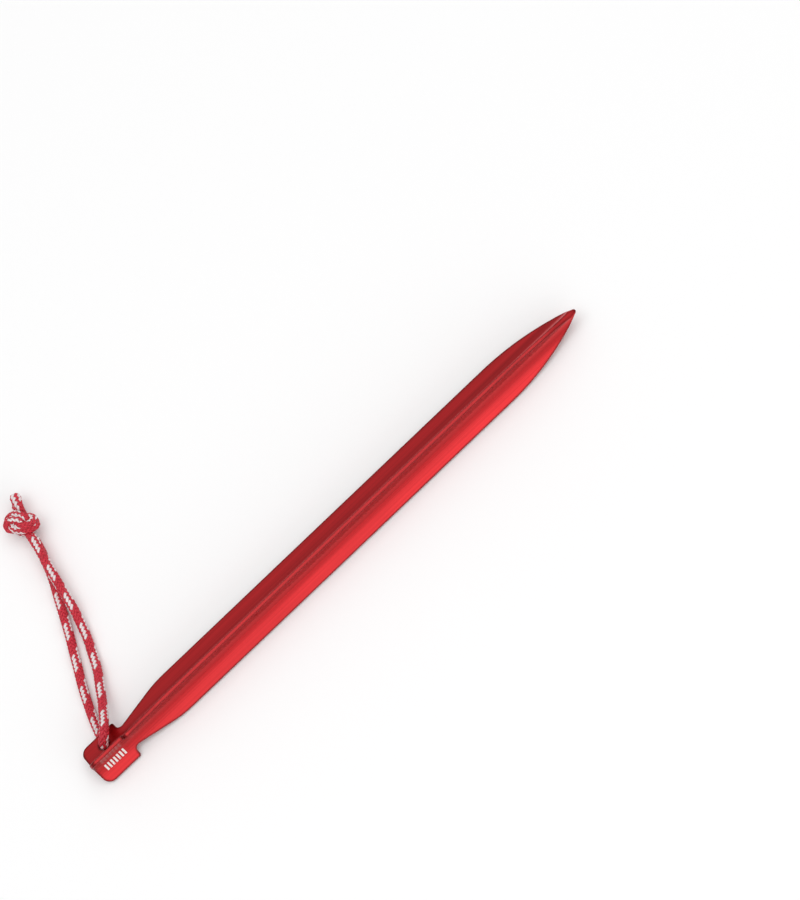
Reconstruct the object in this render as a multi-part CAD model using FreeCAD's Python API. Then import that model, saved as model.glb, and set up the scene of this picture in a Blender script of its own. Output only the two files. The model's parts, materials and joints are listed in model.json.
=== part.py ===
import FreeCAD, Part
import math
import os

# Three-fin aluminium tent stake with a loop of braided cord through one fin.
# Millimetres. The stake lies along X, head at -X and point at +X. It lies on the edge of fin B,
# and the loop's lower leg props up the edge of fin H, the fin with the hole. Z = 0 is the ground,
# and the origin is the centre of the bottom of the stake's own bounding box.

Vector = FreeCAD.Vector

# ---- driving dimensions: the stake --------------------------------------------------------------
stake_length = 190.0
fin_radius = 7.0              # axis to a fin's edge
fin_thickness = 1.25          # at the edge; the flanks thicken towards the root
fin_spacing = 120.0           # degrees between fins
fin_overrun = 1.0             # raw extrusion beyond the finished edge, turned away
edge_round = 0.2              # softened edges of the fins
flank_radius = 20.0           # gentle hollow of each flank
flank_sweep = 8.0             # degrees of that hollow
valley_radius = 3.0           # bottom of each flute

head_corner_radius = 2.7      # rounded corners of the head end
shoulder_x = 12.8             # head end to the hooks' shoulder
shoulder_radius = 0.8         # outer corner of each hook
notch_radius = 1.5            # floor of each guy-line notch
ramp_angle = 12.1             # degrees, the notch's long side
ramp_start_radius = 3.8       # axis to the ramp, in line with the notch's floor
ramp_blend_radius = 33.0      # where the ramp runs out into the full fin

ogive_radius = 78.0           # long curve of the point
nose_radius = 0.7             # blunted tip

hole_from_head = 7.0
hole_from_axis = 3.2
hole_radius = 1.7

roll_angle = 15.0             # turn about X that lifts fin H over its own cord

# ---- driving dimensions: the cord ---------------------------------------------------------------
cord_diameter = 2.6
corner_share = 0.45           # of the shorter run that each arc's tangent takes

knot_centre = Vector(-63.3, 71.6, 3.6)
knot_half_sizes = (5.2, 3.8, 3.5)
knot_turn = -46.0             # degrees about Z, from X to the knot's long side

# The routes start at the middle of the hole and are chosen points, joined by straight runs and arcs.
hole_point = (-88.0, 2.31, 4.47)
leg_over_route = [
    hole_point,
    (-88.0, 2.31, 5.75),
    (-87.5, 2.5, 6.95),
    (-86.4, 3.1, 7.65),
    (-84.7, 5.2, 7.4),
    (-82.7, 8.1, 6.3),
    (-80.5, 12.1, 4.6),
    (-78.2, 16.4, 3.1),
    (-75.2, 21.8, 1.9),
    (-72.4, 28.3, 1.4),
    (-70.3, 33.9, 1.6),
    (-68.7, 39.0, 2.7),
    (-67.4, 44.4, 4.0),
    (-66.2, 50.5, 4.5),
    (-65.1, 56.0, 4.6),
    (-64.0, 61.3, 4.6),
    (-63.0, 66.0, 4.7),
    (-62.4, 70.6, 4.6),
]
leg_under_route = [
    hole_point,
    (-88.0, 2.31, 3.2),
    (-88.0, 2.95, 1.98),
    (-87.9, 4.25, 1.35),
    (-87.5, 6.6, 1.4),
    (-86.6, 9.4, 1.4),
    (-85.1, 13.5, 1.4),
    (-83.3, 17.8, 1.4),
    (-80.7, 23.4, 1.4),
    (-78.3, 28.1, 1.4),
    (-76.1, 32.7, 1.4),
    (-73.7, 37.5, 1.4),
    (-71.6, 42.4, 1.4),
    (-69.4, 47.3, 1.4),
    (-67.3, 52.4, 1.4),
    (-65.7, 57.5, 1.4),
    (-64.5, 62.2, 1.45),
    (-63.5, 66.6, 1.65),
    (-62.8, 70.3, 2.5),
]
tail_over_route = [
    (-61.2, 72.4, 4.7),
    (-60.3, 76.0, 4.7),
    (-59.0, 80.3, 4.4),
]
tail_under_route = [
    (-62.3, 72.8, 2.5),
    (-61.3, 75.7, 1.5),
    (-60.2, 79.0, 1.4),
]

same_place = 1e-3              # points nearer than this are one point
shortest_edge = 0.1
axis_direction = Vector(1, 0, 0)
fin_a_angle = 90.0            # before the roll: fin A points up
fin_b_angle = fin_a_angle + fin_spacing
fin_h_angle = fin_b_angle + fin_spacing


def polar(angle, along, across):
    """A point of the cross-section: along a fin from the axis, and across it, anticlockwise."""
    a = math.radians(angle)
    y = along * math.cos(a) - across * math.sin(a)
    z = along * math.sin(a) + across * math.cos(a)
    return Vector(0, y, z)


def flute_points(angle, side):
    """Outline from one fin's edge down to its flute's valley arc, on the fin's +1 or -1 side."""
    half = fin_thickness / 2
    sweep = math.radians(flank_sweep)
    valley = math.radians(90 - fin_spacing / 2)
    flank_rise = flank_radius * (1 - math.cos(sweep))
    valley_rise = valley_radius * (math.cos(sweep) - math.cos(valley))
    valley_run = valley_radius * (math.sin(valley) - math.sin(sweep))
    bottom_across = half + flank_rise + valley_rise
    bottom_along = bottom_across / math.tan(math.radians(fin_spacing / 2))
    flank_start = bottom_along + valley_run + flank_radius * math.sin(sweep)

    def flank(turn):
        along = flank_start - flank_radius * math.sin(turn)
        across = half + flank_radius * (1 - math.cos(turn))
        return polar(angle, along, side * across)

    outer = polar(angle, fin_radius + fin_overrun, side * half)
    bottom = polar(angle, bottom_along, side * bottom_across)
    return outer, flank(0), flank(sweep / 2), flank(sweep), bottom


def section_face():
    """The extrusion's cross-section: three fins, and three flutes of tangent arcs."""
    edges = []
    for angle in (fin_a_angle, fin_b_angle, fin_h_angle):
        outer, start, middle, end, bottom = flute_points(angle, 1)
        next_angle = angle + fin_spacing
        outer_2, start_2, middle_2, end_2, _ = flute_points(next_angle, -1)
        edges.append(Part.LineSegment(outer, start).toShape())
        edges.append(Part.Arc(start, middle, end).toShape())
        edges.append(Part.Arc(end, bottom, end_2).toShape())
        edges.append(Part.Arc(end_2, middle_2, start_2).toShape())
        edges.append(Part.LineSegment(start_2, outer_2).toShape())
        next_outer = flute_points(next_angle, 1)[0]
        edges.append(Part.LineSegment(outer_2, next_outer).toShape())
    return Part.Face(Part.Wire(Part.__sortEdges__(edges)))


def arc_edge(centre_x, centre_r, radius, from_angle, to_angle):
    """An arc of the turned profile, in the X-Z half plane, by its angles in degrees."""
    def at(angle):
        a = math.radians(angle)
        return Vector(centre_x + radius * math.cos(a), 0, centre_r + radius * math.sin(a))

    return Part.Arc(at(from_angle), at((from_angle + to_angle) / 2), at(to_angle)).toShape()


def turned_blank():
    """What the fins' edges follow: head, notch, ramp, straight blade and point, turned about X."""
    ramp = math.radians(ramp_angle)
    arcs = []
    arcs.append(arc_edge(head_corner_radius, fin_radius - head_corner_radius,
                         head_corner_radius, 180, 90))
    arcs.append(arc_edge(shoulder_x - shoulder_radius, fin_radius - shoulder_radius,
                         shoulder_radius, 90, 0))
    notch_x = shoulder_x + notch_radius
    notch_r = ramp_start_radius + notch_radius / math.cos(ramp)
    arcs.append(arc_edge(notch_x, notch_r, notch_radius, 180, 270 + ramp_angle))
    full_x = notch_x + (fin_radius - ramp_start_radius) / math.tan(ramp)
    blend_x = full_x + ramp_blend_radius * math.tan(ramp / 2)
    arcs.append(arc_edge(blend_x, fin_radius - ramp_blend_radius, ramp_blend_radius,
                         90 + ramp_angle, 90))
    ogive_r = fin_radius - ogive_radius
    nose_x = stake_length - nose_radius
    ogive_x = nose_x - math.sqrt((ogive_radius - nose_radius) ** 2 - ogive_r ** 2)
    meet = math.degrees(math.atan2(-ogive_r, nose_x - ogive_x))
    arcs.append(arc_edge(ogive_x, ogive_r, ogive_radius, 90, meet))
    arcs.append(arc_edge(nose_x, 0, nose_radius, meet, 0))

    edges = []
    last = Vector(0, 0, 0)
    for arc in arcs:
        start = arc.valueAt(arc.FirstParameter)
        end = arc.valueAt(arc.LastParameter)
        if last.distanceToPoint(start) > same_place:
            edges.append(Part.LineSegment(last, start).toShape())
        edges.append(arc)
        last = end
    edges.append(Part.LineSegment(last, Vector(0, 0, 0)).toShape())
    profile = Part.Face(Part.Wire(edges))
    return profile.revolve(Vector(0, 0, 0), axis_direction, 360)


def on_fin_edge(edge):
    """True for the long edges where a flank meets a fin's turned outer face."""
    middle = edge.valueAt((edge.FirstParameter + edge.LastParameter) / 2)
    from_axis = math.hypot(middle.y, middle.z)
    start = edge.valueAt(edge.FirstParameter)
    end = edge.valueAt(edge.LastParameter)
    runs_along = abs(end.x - start.x) > shortest_edge
    on_turned_face = abs(from_axis - fin_radius) < same_place
    return runs_along and on_turned_face


def stake_shape():
    """The finished stake in its own frame: head end at X = 0, axis on X, fin A up."""
    extrusion = section_face().extrude(Vector(stake_length, 0, 0))
    stake = extrusion.common(turned_blank())
    stake = stake.makeFillet(edge_round, [edge for edge in stake.Edges if on_fin_edge(edge)])
    across = polar(fin_h_angle, 0, 1)
    start = polar(fin_h_angle, hole_from_axis, -fin_radius)
    start.x = hole_from_head
    drill = Part.makeCylinder(hole_radius, fin_radius * 2, start, across)
    return stake.cut(drill)


def cord_path(route):
    """Straight runs joined by tangent arcs through a route's points, and each arc's radius."""
    points = [Vector(*p) for p in route]
    edges = []
    radii = []
    last = points[0]
    for before, corner, after in zip(points, points[1:], points[2:]):
        run_in = corner - before
        run_out = after - corner
        turn = run_in.getAngle(run_out)
        shorter = min(run_in.Length, run_out.Length)
        tangent = corner_share * shorter
        radius = tangent / math.tan(turn / 2)
        inwards = (run_out / run_out.Length - run_in / run_in.Length).normalize()
        start = corner - run_in / run_in.Length * tangent
        end = corner + run_out / run_out.Length * tangent
        middle = corner + inwards * (radius / math.cos(turn / 2) - radius)
        edges.append(Part.LineSegment(last, start).toShape())
        edges.append(Part.Arc(start, middle, end).toShape())
        radii.append(radius)
        last = end
    edges.append(Part.LineSegment(last, points[-1]).toShape())
    return Part.Wire(edges), radii


def cord_tube(name, route):
    """A round cord along a route. Prints its bend radii and compares its volume."""
    path, radii = cord_path(route)
    heading = Vector(*route[1]) - Vector(*route[0])
    circle = Part.makeCircle(cord_diameter / 2, Vector(*route[0]), heading)
    tube = path.makePipeShell([Part.Wire(circle)], True, False)
    expected = math.pi * cord_diameter ** 2 / 4 * path.Length
    print(name, "length %.1f mm" % path.Length, "volume / (section x length) %.4f"
          % (tube.Volume / expected), "radii", " ".join("%.1f" % r for r in radii))
    return tube


def knot_shape():
    """The overhand knot's outer shape, a rounded lump resting on the ground."""
    ball = Part.makeSphere(1.0)
    stretch = FreeCAD.Matrix()
    stretch.scale(*knot_half_sizes)
    lump = ball.transformGeometry(stretch)
    lump.rotate(Vector(0, 0, 0), Vector(0, 0, 1), knot_turn)
    lump.translate(knot_centre)
    return lump


def place_stake():
    """Rolls the stake onto fin B and fin H's cord, and centres its bounding box over the origin."""
    stake = stake_shape()
    stake.rotate(Vector(0, 0, 0), axis_direction, roll_angle)
    box = stake.optimalBoundingBox(False)
    shift = Vector(-stake_length / 2, -(box.YMin + box.YMax) / 2, -box.ZMin)
    stake.translate(shift)
    hole = polar(fin_h_angle + roll_angle, hole_from_axis, 0)
    hole.x = hole_from_head
    print("stake: volume %.1f mm3" % stake.Volume, "axis at y %.3f z %.3f" % (shift.y, shift.z))
    print("hole centre %.3f %.3f %.3f" % tuple(hole + shift))
    return stake


def main():
    os.makedirs("parts", exist_ok=True)
    knot = knot_shape()
    nodes = {"stake_body": place_stake(), "cord_knot": knot}
    routes = {
        "cord_leg_over": leg_over_route,
        "cord_leg_under": leg_under_route,
        "cord_tail_over": tail_over_route,
        "cord_tail_under": tail_under_route,
    }
    for name, route in routes.items():
        nodes[name] = cord_tube(name, route).cut(knot)
    for name, shape in nodes.items():
        solid = shape.Solids[0]
        print(name, "solids", len(shape.Solids), "valid", shape.isValid(),
              "volume %.2f" % solid.Volume)
        solid.exportStep("parts/" + name + ".step")


main()
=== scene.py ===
import json
import math

import bpy
import numpy as np
from mathutils import Matrix, Vector
from mathutils.bvhtree import BVHTree


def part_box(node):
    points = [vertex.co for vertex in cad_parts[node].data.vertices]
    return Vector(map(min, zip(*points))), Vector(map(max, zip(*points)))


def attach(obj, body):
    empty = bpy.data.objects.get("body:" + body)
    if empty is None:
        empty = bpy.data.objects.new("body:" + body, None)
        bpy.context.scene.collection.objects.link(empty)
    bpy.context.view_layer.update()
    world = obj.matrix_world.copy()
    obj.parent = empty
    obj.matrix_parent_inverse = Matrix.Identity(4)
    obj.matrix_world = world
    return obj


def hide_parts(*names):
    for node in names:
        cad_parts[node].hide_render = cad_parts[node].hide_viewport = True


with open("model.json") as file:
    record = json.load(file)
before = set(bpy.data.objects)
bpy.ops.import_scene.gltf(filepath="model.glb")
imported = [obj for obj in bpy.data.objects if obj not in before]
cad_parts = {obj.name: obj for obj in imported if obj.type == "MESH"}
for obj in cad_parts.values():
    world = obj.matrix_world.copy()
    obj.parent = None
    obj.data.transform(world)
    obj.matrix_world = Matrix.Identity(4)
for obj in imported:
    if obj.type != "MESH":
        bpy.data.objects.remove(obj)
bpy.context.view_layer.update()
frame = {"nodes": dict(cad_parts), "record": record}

MM = 0.001
STAKE = "stake"
LOOP = "pull_loop"

# ---- the stake, as the CAD made it --------------------------------------------------------------
stake = frame["nodes"]["stake_body"]
stake_low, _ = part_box("stake_body")
HEAD_X = stake_low.x
AXIS = Vector(next(m for m in frame["record"]["mounts"] if m["name"] == "striking_face")["pos_m"])
ROLL = math.radians(15)       # the stake's turn about X, which lifts the fin with the hole
EDGE_SHADE_DEPTH = 0.9 * MM         # painted shade darkens the colour within this of an edge

# ---- the print in the flute: plain bars ---------------------------------------------------------
MARK_BARS = 7
MARK_START = 2.9 * MM         # from the head end
MARK_STEP = 1.13 * MM
MARK_WIDTH = 0.62 * MM
MARK_LOW, MARK_HIGH = -3.3 * MM, -1.45 * MM   # across the view, from the stake's axis
MARK_PROUD = 0.03 * MM
MARK_COLUMNS, MARK_ROWS = 4, 9  # points of each bar, along the stake and across it
MARK_RAY = 0.05               # how far off the metal is looked for

# ---- the cord: its routes are control points, and the knot's windings come between -------------
CORD_D = 2.6 * MM
LEG_OVER = [
    (-.088, .00231, .00447), (-.088, .00231, .00575), (-.0875, .0025, .00695),
    (-.0864, .0031, .00765), (-.0847, .0052, .0074), (-.0827, .0081, .0063),
    (-.0806, .0121, .0046), (-.0784, .0164, .0031), (-.0754, .0218, .0019),
    (-.0727, .0283, .0014), (-.0706, .0339, .0016), (-.069, .039, .0027),
    (-.0677, .0444, .004), (-.0666, .0505, .0045), (-.0655, .056, .0046),
    (-.0643, .0613, .0046), (-.0635, .065, .0047),
]
LEG_UNDER = [
    (-.088, .00231, .00447), (-.088, .00231, .0032), (-.088, .00295, .00198),
    (-.0879, .00425, .00135), (-.0875, .0066, .0014), (-.0866, .0094, .0014),
    (-.0852, .0135, .0014), (-.0835, .0178, .0014), (-.081, .0234, .0014),
    (-.0786, .0281, .0014), (-.0764, .0327, .0014), (-.074, .0375, .0014),
    (-.0719, .0424, .0014), (-.0697, .0473, .0014), (-.0674, .0524, .0014),
    (-.0656, .0575, .0014), (-.0642, .0622, .0015),
]
TAIL_OVER = [(-.0604, .0756, .0047), (-.0591, .079, .0044)]
TAIL_UNDER = [(-.0613, .0753, .0018), (-.0605, .078, .0014)]

KNOT_PLACE = Vector((-.0635, .071, 0))
KNOT_HEADING = math.radians(78)
KNOT_GAP = 1.85 * MM          # between strands that press on each other
KNOT_FLATTEN = 0.8            # height kept, as the knot lies on the ground
KNOT_REACH = 4.6 * MM         # windings used each side of the middle
KNOT_STRIDE = 3               # every third point of a winding is a control point
KNOT_HEART = 0.5 * MM         # the windings keep their place this near the middle
KNOT_PULL = 3.5 * MM          # over this length they then ease to one side of the cords
SHIFT_IN = 1.6 * MM           # by this much where the cords come in
SHIFT_OUT = 0.6 * MM          # and this much where they go out
KNOT_CLEARANCE = 0.1 * MM     # over the ground

# ---- drawing the knot tight: lengths are in gaps between strands --------------------------------
TREFOIL_POINTS = 160
TREFOIL_EASE = 0.9            # of a turn's angle, over which the two ends part
TREFOIL_LIFT = 1.6            # height of the open knot
TREFOIL_SIZE = 1.19
LOOSE_END = 1.6               # of the tight end
TIGHT_STEP = 0.38
TIGHT_END = 5.4
TIGHT_ROUNDS = 420
CALM_ROUNDS = 60              # the last rounds, without shrinking
SHRINK = 0.992
SMOOTHING = 0.25
CONTACT_PASSES = 4
CONTACT_SHARE = 0.225         # of each overlap, moved by each of the two points
NEIGHBOUR = 1.25              # points of one strand nearer than this don't push

# ---- the braid ----------------------------------------------------------------------------------
CARRIERS = 8                  # yarns each way round
BRAID_PITCH = 9.9 * MM
YARN_WIDTH = 0.73 * MM
PALE_WIDTH = 0.82 * MM
YARN_THICKNESS = 0.32 * MM
YARN_LIFT = 0.17 * MM         # wave of each yarn over and under the others
BRAID_RADIUS = 1.11 * MM      # to the middle of the yarns
CORE_RADIUS = 0.95 * MM
PALE_YARNS = (0, 1, 2, 3)     # of the yarns that turn one way
RED, PALE, CORE = 0, 1, 2     # the cord's material slots
CORE_SIDES, YARN_SIDES = 12, 6
CORE_PATTERN, YARN_PATTERN = 6.0, 1.0   # how often the pattern repeats round each
START_OVER = 1.5 * MM         # how far into its pattern each cord's braid starts
START_UNDER = 3.6 * MM
KNOT_STRETCH = 5.0 * MM       # how far the pattern slips inside the knot
KNOT_SIZE = 6 * MM            # the slip happens this near the knot's middle
KNOT_SQUEEZE = 0.79           # thickness kept inside the knot
SQUEEZE_ENDS = (4.0 * MM, 5.6 * MM)   # from the knot's middle: full squeeze, and none
FLARE_PLACES = (0, 0.3 * MM, 1.0 * MM, 3.5 * MM)   # from the cut end
FLARE = (0.78, 1.10, 1.22, 1.04)
BRAID_STEP = 0.2 * MM

# ---- camera -------------------------------------------------------------------------------------
LEAN = math.radians(7.5)      # how far the top fin leans away from the view
VIEW_TILT = ROLL + LEAN       # from straight down, about the stake's length
VIEW_TURN = math.radians(43.6)  # the stake's length in the picture, up from level
VIEW_DISTANCE = 1.6
VIEW_HEIGHT = 256.8 * MM      # what the picture's height shows at the stake
VIEW_ALONG = 126.2 * MM       # the picture's middle, from the head end
VIEW_ACROSS = 5.53 * MM       # and from the stake's axis
SENSOR = 36.0
NEAR_CLIP = 0.05
ACROSS = Vector((0, math.cos(VIEW_TILT), math.sin(VIEW_TILT)))
BACK = Vector((0, -math.sin(VIEW_TILT), math.cos(VIEW_TILT)))

# ---- studio -------------------------------------------------------------------------------------
SKY_LOW, SKY_HIGH = 0.36, 0.86  # strength of the surround, up to SKY_START and straight up
SKY_START = 0.1               # height on a sphere of radius 1
OVERHEAD_PLACE = (0.0, 0.12, 1.4)
OVERHEAD_SIZE = (2.0, 1.2)
OVERHEAD_POWER = 8.6
KEY_PLACE = (0.0, -1.2, 0.56)
KEY_SIZE = (1.6, 0.7)
KEY_POWER = 3.9
FLOOR_SIZE = 8
FLOOR_COLOUR = (0.95, 0.95, 0.95)
FLOOR_ROUGHNESS = 0.9


def add_camera():
    """Looks down on the stake from the side of the fin it lies on, with a long lens."""
    along = Vector((1, 0, 0))
    right = math.cos(VIEW_TURN) * along - math.sin(VIEW_TURN) * ACROSS
    up = math.sin(VIEW_TURN) * along + math.cos(VIEW_TURN) * ACROSS
    target = Vector((HEAD_X + VIEW_ALONG, AXIS.y, AXIS.z)) + ACROSS * VIEW_ACROSS
    data = bpy.data.cameras.new("camera")
    data.sensor_width = SENSOR
    data.lens = SENSOR * VIEW_DISTANCE / VIEW_HEIGHT
    data.clip_start = NEAR_CLIP
    camera = bpy.data.objects.new("camera", data)
    place = Matrix((right, up, BACK)).transposed().to_4x4()
    place.translation = target + BACK * VIEW_DISTANCE
    camera.matrix_world = place
    bpy.context.scene.collection.objects.link(camera)
    bpy.context.scene.camera = camera


def add_softbox(name, place, size, power):
    """A flat light that faces the origin."""
    data = bpy.data.lights.new(name, "AREA")
    data.shape = "RECTANGLE"
    data.size, data.size_y = size
    data.energy = power
    light = bpy.data.objects.new(name, data)
    light.location = place
    inward = Vector((0, 0, 0)) - Vector(place)
    light.rotation_euler = inward.to_track_quat("-Z", "Y").to_euler()
    bpy.context.scene.collection.objects.link(light)


def add_studio():
    """A pale floor, a soft surround and two softboxes, one overhead and one low at the front."""
    world = bpy.data.worlds.new("studio")
    world.use_nodes = True
    background = world.node_tree.nodes["Background"]
    background.inputs["Color"].default_value = (1, 1, 1, 1)
    nodes = Nodes(world, "Background")
    direction = nodes.add("TexCoord")
    height = nodes.add("SeparateXYZ")
    nodes.join(direction, "Generated", height, "Vector")
    strength = nodes.add("MapRange")
    strength.inputs["From Min"].default_value = SKY_START
    strength.inputs["To Min"].default_value = SKY_LOW
    strength.inputs["To Max"].default_value = SKY_HIGH
    nodes.join(height, "Z", strength, "Value")
    nodes.join(strength, "Result", background, "Strength")
    bpy.context.scene.world = world
    bpy.context.scene.view_settings.view_transform = "Standard"
    add_softbox("overhead", OVERHEAD_PLACE, OVERHEAD_SIZE, OVERHEAD_POWER)
    add_softbox("key", KEY_PLACE, KEY_SIZE, KEY_POWER)
    bpy.ops.mesh.primitive_plane_add(size=FLOOR_SIZE)
    floor = bpy.context.object
    floor.name = "floor"
    floor.data.materials.append(plain_material("floor", FLOOR_COLOUR, FLOOR_ROUGHNESS))


# ---- materials ----------------------------------------------------------------------------------
def plain_material(name, colour, roughness):
    material = bpy.data.materials.new(name)
    material.use_nodes = True
    shader = material.node_tree.nodes["Principled BSDF"]
    shader.inputs["Base Color"].default_value = (*colour, 1)
    shader.inputs["Roughness"].default_value = roughness
    return material


class Nodes:
    """Short names for adding and joining the nodes of a material, or of the world."""

    def __init__(self, owner, shader="Principled BSDF"):
        self.tree = owner.node_tree
        self.shader = self.tree.nodes[shader]

    def add(self, kind, **settings):
        node = self.tree.nodes.new("ShaderNode" + kind)
        for name, value in settings.items():
            setattr(node, name, value)
        return node

    def join(self, source, output, node, inlet):
        self.tree.links.new(source.outputs[output], node.inputs[inlet])


def metal_material():
    """Red anodised aluminium, with the extrusion's lines along X and painted shade darkening the
    colour at edges.
    """
    material = plain_material("anodised_aluminium", (0.52, 0.012, 0.018), 0.33)
    nodes = Nodes(material)
    nodes.shader.inputs["Metallic"].default_value = 1.0
    nodes.shader.inputs["Coat Weight"].default_value = 0.3
    nodes.shader.inputs["Coat Roughness"].default_value = 0.2
    place = nodes.add("TexCoord")
    stretch = nodes.add("Mapping")
    stretch.inputs["Scale"].default_value = (12, 3600, 3600)
    lines = nodes.add("TexNoise")
    lines.inputs["Scale"].default_value = 1.0
    lines.inputs["Detail"].default_value = 4.0
    nodes.join(place, "Object", stretch, "Vector")
    nodes.join(stretch, "Vector", lines, "Vector")
    cloud = nodes.add("TexNoise")
    cloud.inputs["Scale"].default_value = 90.0
    cloud.inputs["Detail"].default_value = 5.0
    nodes.join(place, "Object", cloud, "Vector")

    wide = nodes.add("Mapping")
    wide.inputs["Scale"].default_value = (5, 520, 520)
    drawn = nodes.add("TexNoise")
    drawn.inputs["Scale"].default_value = 1.0
    drawn.inputs["Detail"].default_value = 1.0
    nodes.join(place, "Object", wide, "Vector")
    nodes.join(wide, "Vector", drawn, "Vector")

    broad = nodes.add("Bump")
    broad.inputs["Strength"].default_value = 0.7
    broad.inputs["Distance"].default_value = 0.06 * MM
    nodes.join(drawn, "Fac", broad, "Height")
    fine = nodes.add("Bump")
    fine.inputs["Strength"].default_value = 0.16
    fine.inputs["Distance"].default_value = 0.03 * MM
    nodes.join(lines, "Fac", fine, "Height")
    nodes.join(broad, "Normal", fine, "Normal")
    nodes.join(fine, "Normal", nodes.shader, "Normal")

    rough = nodes.add("MapRange")
    rough.inputs["To Min"].default_value = 0.24
    rough.inputs["To Max"].default_value = 0.38
    nodes.join(cloud, "Fac", rough, "Value")
    nodes.join(rough, "Result", nodes.shader, "Roughness")

    tone = nodes.add("ValToRGB")
    tone.color_ramp.elements[0].position = 0.3
    tone.color_ramp.elements[0].color = (0.50, 0.016, 0.020, 1)
    tone.color_ramp.elements[1].position = 0.7
    tone.color_ramp.elements[1].color = (0.61, 0.023, 0.027, 1)
    nodes.join(lines, "Fac", tone, "Fac")

    # Painted shade: the base colour is darkened near every edge, standing in for the shade on the
    # rounded fin edges.
    inside = nodes.add("AmbientOcclusion", samples=8, inside=True, only_local=True)
    inside.inputs["Distance"].default_value = EDGE_SHADE_DEPTH
    edge_shade = nodes.add("MapRange")
    edge_shade.inputs["From Min"].default_value = 0.66
    edge_shade.inputs["From Max"].default_value = 0.95
    edge_shade.inputs["To Min"].default_value = 0.25
    edge_shade.inputs["To Max"].default_value = 1.0
    nodes.join(inside, "AO", edge_shade, "Value")
    bands = nodes.add("MapRange")
    bands.inputs["From Min"].default_value = 0.3
    bands.inputs["From Max"].default_value = 0.7
    bands.inputs["To Min"].default_value = 0.84
    bands.inputs["To Max"].default_value = 1.12
    nodes.join(drawn, "Fac", bands, "Value")
    # The painted edge shade and the drawn tone bands together scale the colour.
    depth = nodes.add("Math", operation="MULTIPLY")
    nodes.join(edge_shade, "Result", depth, 0)
    nodes.join(bands, "Result", depth, 1)
    shaded = nodes.add("VectorMath", operation="SCALE")
    nodes.join(tone, "Color", shaded, 0)
    nodes.join(depth, "Value", shaded, "Scale")
    nodes.join(shaded, "Vector", nodes.shader, "Base Color")
    return material


def print_material():
    """Worn white print."""
    material = plain_material("white_print", (0.86, 0.83, 0.81), 0.5)
    nodes = Nodes(material)
    place = nodes.add("TexCoord")
    worn = nodes.add("TexNoise")
    worn.inputs["Scale"].default_value = 1500.0
    worn.inputs["Detail"].default_value = 5.0
    nodes.join(place, "Object", worn, "Vector")
    tone = nodes.add("ValToRGB")
    tone.color_ramp.elements[0].position = 0.28
    tone.color_ramp.elements[0].color = (0.66, 0.26, 0.26, 1)
    tone.color_ramp.elements[1].position = 0.44
    tone.color_ramp.elements[1].color = (0.90, 0.87, 0.85, 1)
    nodes.join(worn, "Fac", tone, "Fac")
    nodes.join(tone, "Color", nodes.shader, "Base Color")
    return material


def yarn_material(name, dark, light, roughness, sheen):
    """A yarn of fine twisted filaments, drawn along the yarn by its UV map."""
    material = plain_material(name, light, roughness)
    nodes = Nodes(material)
    nodes.shader.inputs["Sheen Weight"].default_value = sheen
    nodes.shader.inputs["Sheen Roughness"].default_value = 0.4
    place = nodes.add("UVMap")
    place.uv_map = "yarn"
    twist = nodes.add("TexWave")
    twist.bands_direction = "DIAGONAL"
    twist.inputs["Scale"].default_value = 3.2
    twist.inputs["Distortion"].default_value = 1.5
    twist.inputs["Detail"].default_value = 2.0
    nodes.join(place, "UV", twist, "Vector")
    fuzz = nodes.add("TexNoise")
    fuzz.inputs["Scale"].default_value = 2.5
    fuzz.inputs["Detail"].default_value = 6.0
    nodes.join(place, "UV", fuzz, "Vector")
    mixed = nodes.add("Math", operation="MULTIPLY")
    nodes.join(twist, "Fac", mixed, 0)
    nodes.join(fuzz, "Fac", mixed, 1)
    # The ramp's dark end is partly painted shade in the grooves between the twisted filaments and
    # partly the yarn's own uneven tone.
    tone = nodes.add("ValToRGB")
    tone.color_ramp.elements[0].position = 0.14
    tone.color_ramp.elements[0].color = (*dark, 1)
    tone.color_ramp.elements[1].position = 0.32
    tone.color_ramp.elements[1].color = (*light, 1)
    nodes.join(mixed, "Value", tone, "Fac")
    nodes.join(tone, "Color", nodes.shader, "Base Color")
    bump = nodes.add("Bump")
    bump.inputs["Strength"].default_value = 0.5
    bump.inputs["Distance"].default_value = 0.05 * MM
    nodes.join(mixed, "Value", bump, "Height")
    nodes.join(bump, "Normal", nodes.shader, "Normal")
    return material


# ---- the print ----------------------------------------------------------------------------------
def add_mark(material):
    """A row of bars, each a thin closed pad that follows the metal under it."""
    metal_under = BVHTree.FromObject(stake, bpy.context.evaluated_depsgraph_get())
    columns, rows = MARK_COLUMNS, MARK_ROWS
    verts, faces = [], []
    for bar in range(MARK_BARS):
        start = len(verts)
        for depth in (MARK_PROUD, -MARK_PROUD):
            for column in range(columns):
                for row in range(rows):
                    x = HEAD_X + MARK_START + bar * MARK_STEP + MARK_WIDTH * column / (columns - 1)
                    across = MARK_LOW + (MARK_HIGH - MARK_LOW) * row / (rows - 1)
                    origin = Vector((x, AXIS.y, AXIS.z)) + ACROSS * across + BACK * MARK_RAY
                    hit, normal, _, _ = metal_under.ray_cast(origin, -BACK)
                    verts.append(hit + normal * depth)
        top = np.arange(columns * rows).reshape(columns, rows) + start
        for a, b, c, d in zip(top[:-1, :-1].ravel(), top[1:, :-1].ravel(),
                              top[1:, 1:].ravel(), top[:-1, 1:].ravel()):
            faces.append((a, b, c, d))
            faces.append(tuple(k + columns * rows for k in (d, c, b, a)))
        rim = [*top[:, 0], *top[-1, 1:], *top[-2::-1, -1], *top[0, -2:0:-1]]
        for a, b in zip(rim, rim[1:] + rim[:1]):
            faces.append((b, a, a + columns * rows, b + columns * rows))
    mesh = bpy.data.meshes.new("mark")
    mesh.from_pydata(verts, [], [tuple(int(k) for k in face) for face in faces])
    mesh.materials.append(material)
    mesh.update()
    piece = bpy.data.objects.new("mark", mesh)
    bpy.context.scene.collection.objects.link(piece)
    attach(piece, STAKE)


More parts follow.
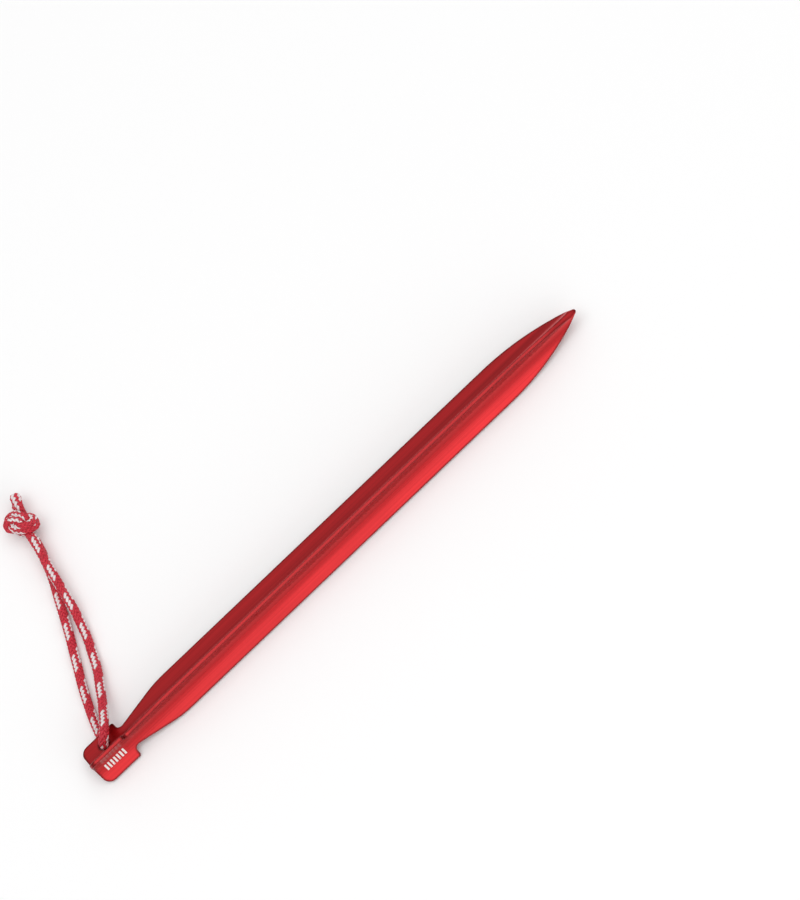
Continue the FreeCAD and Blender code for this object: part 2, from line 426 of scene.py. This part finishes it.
# ---- the knot -----------------------------------------------------------------------------------
def even_steps(line, step):
    """The same line with points a fixed distance apart."""
    runs = np.linalg.norm(np.diff(line, axis=0), axis=1)
    along = np.concatenate([[0], np.cumsum(runs)])
    places = np.linspace(0, along[-1], int(round(along[-1] / step)) + 1)
    return np.stack([np.interp(places, along, line[:, k]) for k in range(3)], 1)


def loose_overhand(size, end):
    """An open overhand knot: a trefoil whose two ends leave along -X and +X."""
    t = np.linspace(math.pi, 3 * math.pi, TREFOIL_POINTS)
    first = np.clip(1 - (t - math.pi) / TREFOIL_EASE, 0, 1)
    last = np.clip(1 - (3 * math.pi - t) / TREFOIL_EASE, 0, 1)
    x = np.sin(t) + 2 * np.sin(2 * t)
    y = np.cos(t) - 2 * np.cos(2 * t) + 2.2 - 0.9 * first
    z = -TREFOIL_LIFT * np.sin(3 * t) + 1.2 * (last - first)
    knot = np.stack([x, y, z], 1) * size
    start = [[-end, knot[0, 1], knot[0, 2]]]
    finish = [[end, knot[-1, 1], knot[-1, 2]]]
    return np.concatenate([start, knot, finish])


def parted(strands, gap, step):
    """Pushes points of the strands apart where they are nearer than the gap."""
    points = np.concatenate(strands)
    owner = np.repeat([0, 1], [len(s) for s in strands])
    order = np.arange(len(points))
    offset = points[None] - points[:, None]
    distance = np.maximum(np.linalg.norm(offset, axis=2), 1e-9)
    same = owner[None] == owner[:, None]
    neighbours = same & (abs(order[None] - order[:, None]) * step < NEIGHBOUR * gap)
    push = np.where(neighbours | (distance >= gap), 0, (gap - distance) / distance)
    push = push * CONTACT_SHARE
    points = points - (offset * push[:, :, None]).sum(1)
    return [points[owner == 0], points[owner == 1]]


def tight_overhand(gap):
    """Two strands side by side, tied in one overhand knot and drawn tight."""
    step = TIGHT_STEP * gap
    end = TIGHT_END * gap
    centre = even_steps(loose_overhand(TREFOIL_SIZE * gap, LOOSE_END * end), step)
    heading = np.gradient(centre, axis=0)
    aside = np.cross([0, 0, 1.0], heading)
    aside *= gap / 2 / np.linalg.norm(aside, axis=1)[:, None]
    strands = [even_steps(centre + aside, step), even_steps(centre - aside, step)]
    for turn in range(TIGHT_ROUNDS):
        shrink = SHRINK if turn < TIGHT_ROUNDS - CALM_ROUNDS else 1.0
        for k, side in ((0, 1), (1, -1)):
            strand = strands[k] * shrink
            strand[0] = [-end, side * gap / 2, 0]
            strand[-1] = [end, side * gap / 2, 0]
            middle = (strand[:-2] + strand[2:]) / 2
            strand[1:-1] += SMOOTHING * (middle - strand[1:-1])
            strands[k] = strand
        for _ in range(CONTACT_PASSES):
            moved = parted(strands, gap, step)
            for strand, place in zip(strands, moved):
                strand[1:-1] = place[1:-1]
        strands = [even_steps(strand, step) for strand in strands]
    return strands


def knot_windings():
    """The control points of both strands inside the knot, where it lies on the ground."""
    strands = tight_overhand(KNOT_GAP)
    ahead = np.array([math.cos(KNOT_HEADING), math.sin(KNOT_HEADING), 0])
    left = np.array([-ahead[1], ahead[0], 0])
    lowest = min(strand[:, 1].min() for strand in strands)
    rest = CORD_D / 2 * KNOT_SQUEEZE + KNOT_CLEARANCE
    windings = []
    for strand in strands:
        inside = strand[abs(strand[:, 0]) < KNOT_REACH][::KNOT_STRIDE]
        height = (inside[:, 1] - lowest) * KNOT_FLATTEN + rest
        ease = np.clip((abs(inside[:, 0]) - KNOT_HEART) / KNOT_PULL, 0, 1)
        aside = -inside[:, 2] - ease * np.where(inside[:, 0] < 0, SHIFT_IN, SHIFT_OUT)
        place = np.array(KNOT_PLACE) + inside[:, :1] * ahead + aside[:, None] * left
        place[:, 2] += height
        windings.append([tuple(p) for p in place])
    return windings


# ---- cords --------------------------------------------------------------------------------------
def route_line(name, points):
    """The smooth line of a cord: a NURBS spline through its control points, without thickness."""
    curve = bpy.data.curves.new(name, "CURVE")
    curve.dimensions = "3D"
    spline = curve.splines.new("NURBS")
    spline.points.add(len(points) - 1)
    for point, place in zip(spline.points, points):
        point.co = (*place, 1)
    spline.order_u = 3
    spline.use_endpoint_u = True
    spline.resolution_u = 24
    holder = bpy.data.objects.new(name, curve)
    mesh = bpy.data.meshes.new_from_object(holder)
    line = np.array([v.co for v in mesh.vertices])
    bpy.data.objects.remove(holder)
    bpy.data.meshes.remove(mesh)
    return line


def line_frames(line):
    """Unit heading and two square directions along a line, carried on without twist."""
    heading = np.gradient(line, axis=0)
    heading /= np.linalg.norm(heading, axis=1)[:, None]
    first = np.cross(heading[0], [1.0, 0.3, 0.2])
    normals = [first / np.linalg.norm(first)]
    for direction in heading[1:]:
        normal = normals[-1] - direction * (normals[-1] @ direction)
        normals.append(normal / np.linalg.norm(normal))
    normals = np.array(normals)
    return heading, normals, np.cross(heading, normals)


def tube_faces(rings, sides, first=0):
    """Quads between neighbouring rings of a tube, and a face over each end."""
    ring, side = np.meshgrid(np.arange(rings - 1), np.arange(sides), indexing="ij")
    here = first + ring * sides + side
    beside = first + ring * sides + (side + 1) % sides
    quads = np.stack([here, beside, beside + sides, here + sides], -1).reshape(-1, 4)
    return quads.tolist() + [
        list(range(first + sides - 1, first - 1, -1)),
        list(range(first + (rings - 1) * sides, first + rings * sides)),
    ]


def braided_cord(name, points, nodes, start, materials):
    """A cord braided from flat yarns round a core, a little wider at its cut end."""
    route = route_line(name + "_route", points)
    line = even_steps(route, BRAID_STEP)
    heading, normal, side = line_frames(line)
    along = np.arange(len(line)) * BRAID_STEP
    left = along[-1] - along
    from_knot = np.linalg.norm(line[:, :2] - np.array(KNOT_PLACE)[:2], axis=1)
    squeeze = np.interp(from_knot, SQUEEZE_ENDS, [KNOT_SQUEEZE, 1.0])
    squeeze *= np.interp(left, FLARE_PLACES, FLARE)

    verts, faces, uvs, slots = [], [], [], []

    def add_tube(centre, wide, thick, across, outward, sides, slot, pattern):
        first = len(verts)
        rings = len(centre)
        angles = np.arange(sides) * 2 * math.pi / sides
        ring = (centre[:, None] + across[:, None] * (np.cos(angles)[:, None] * wide[:, None, None])
                + outward[:, None] * (np.sin(angles)[:, None] * thick[:, None, None]))
        verts.extend(ring.reshape(-1, 3).tolist())
        new = tube_faces(rings, sides, first)
        faces.extend(new)
        slots.extend([slot] * len(new))
        for face in new:
            for corner in face:
                step, spoke = divmod(corner - first, sides)
                uvs.append((along[step] / MM, spoke / sides * pattern))

    core = np.full(len(line), CORE_RADIUS) * squeeze
    add_tube(line, core, core, normal, side, CORE_SIDES, CORE, CORE_PATTERN)
    in_knot = np.flatnonzero(from_knot < KNOT_SIZE)
    slip = np.interp(along, along[[in_knot[0], in_knot[-1]]], [0, KNOT_STRETCH])
    twist = 2 * math.pi * (along + start + slip) / BRAID_PITCH
    for way in (1, -1):
        for k in range(CARRIERS):
            turn = way * twist + 2 * math.pi * k / CARRIERS
            wave = way * np.cos(CARRIERS // 2 * twist + way * math.pi * k - way * math.pi / 4)
            radius = (BRAID_RADIUS + YARN_LIFT * wave) * squeeze
            outward = np.cos(turn)[:, None] * normal + np.sin(turn)[:, None] * side
            centre = line + outward * radius[:, None]
            run = np.gradient(centre, axis=0)
            run /= np.linalg.norm(run, axis=1)[:, None]
            across = np.cross(run, outward)
            across /= np.linalg.norm(across, axis=1)[:, None]
            slot = PALE if way == 1 and k in PALE_YARNS else RED
            wide = (PALE_WIDTH if slot == PALE else YARN_WIDTH) / 2 * squeeze
            thick = YARN_THICKNESS / 2 * squeeze
            add_tube(centre, wide, thick, across, np.cross(across, run), YARN_SIDES, slot,
                     YARN_PATTERN)

    mesh = bpy.data.meshes.new(name)
    mesh.from_pydata(verts, [], faces)
    layer = mesh.uv_layers.new(name="yarn")
    layer.data.foreach_set("uv", np.array(uvs).ravel())
    mesh.polygons.foreach_set("material_index", slots)
    mesh.polygons.foreach_set("use_smooth", [True] * len(faces))
    for material in materials:
        mesh.materials.append(material)
    mesh.update()
    piece = bpy.data.objects.new(name, mesh)
    bpy.context.scene.collection.objects.link(piece)
    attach(piece, LOOP)
    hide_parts(*nodes)


add_camera()
add_studio()
stake.data.materials.clear()
stake.data.materials.append(metal_material())
add_mark(print_material())
# Each yarn's dark colour is partly painted shade between filaments, its light colour the yarn's
# own.
red_yarn = yarn_material("red_yarn", (0.14, 0.001, 0.006), (0.98, 0.032, 0.068), 0.55, 0.05)
pale_yarn = yarn_material("pale_yarn", (0.60, 0.42, 0.44), (0.97, 0.96, 0.95), 0.35, 0.05)
# The core is coloured near black: painted shade in the gaps between the yarns.
core_painted_shade = yarn_material("core_painted_shade", (0.05, 0.001, 0.004), (0.20, 0.003, 0.012), 0.8, 0.0)
yarns = [red_yarn, pale_yarn, core_painted_shade]
over_winding, under_winding = knot_windings()
braided_cord("cord_over", LEG_OVER + over_winding + TAIL_OVER,
             ["cord_leg_over", "cord_tail_over", "cord_knot"], START_OVER, yarns)
braided_cord("cord_under", LEG_UNDER + under_winding + TAIL_UNDER,
             ["cord_leg_under", "cord_tail_under"], START_UNDER, yarns)
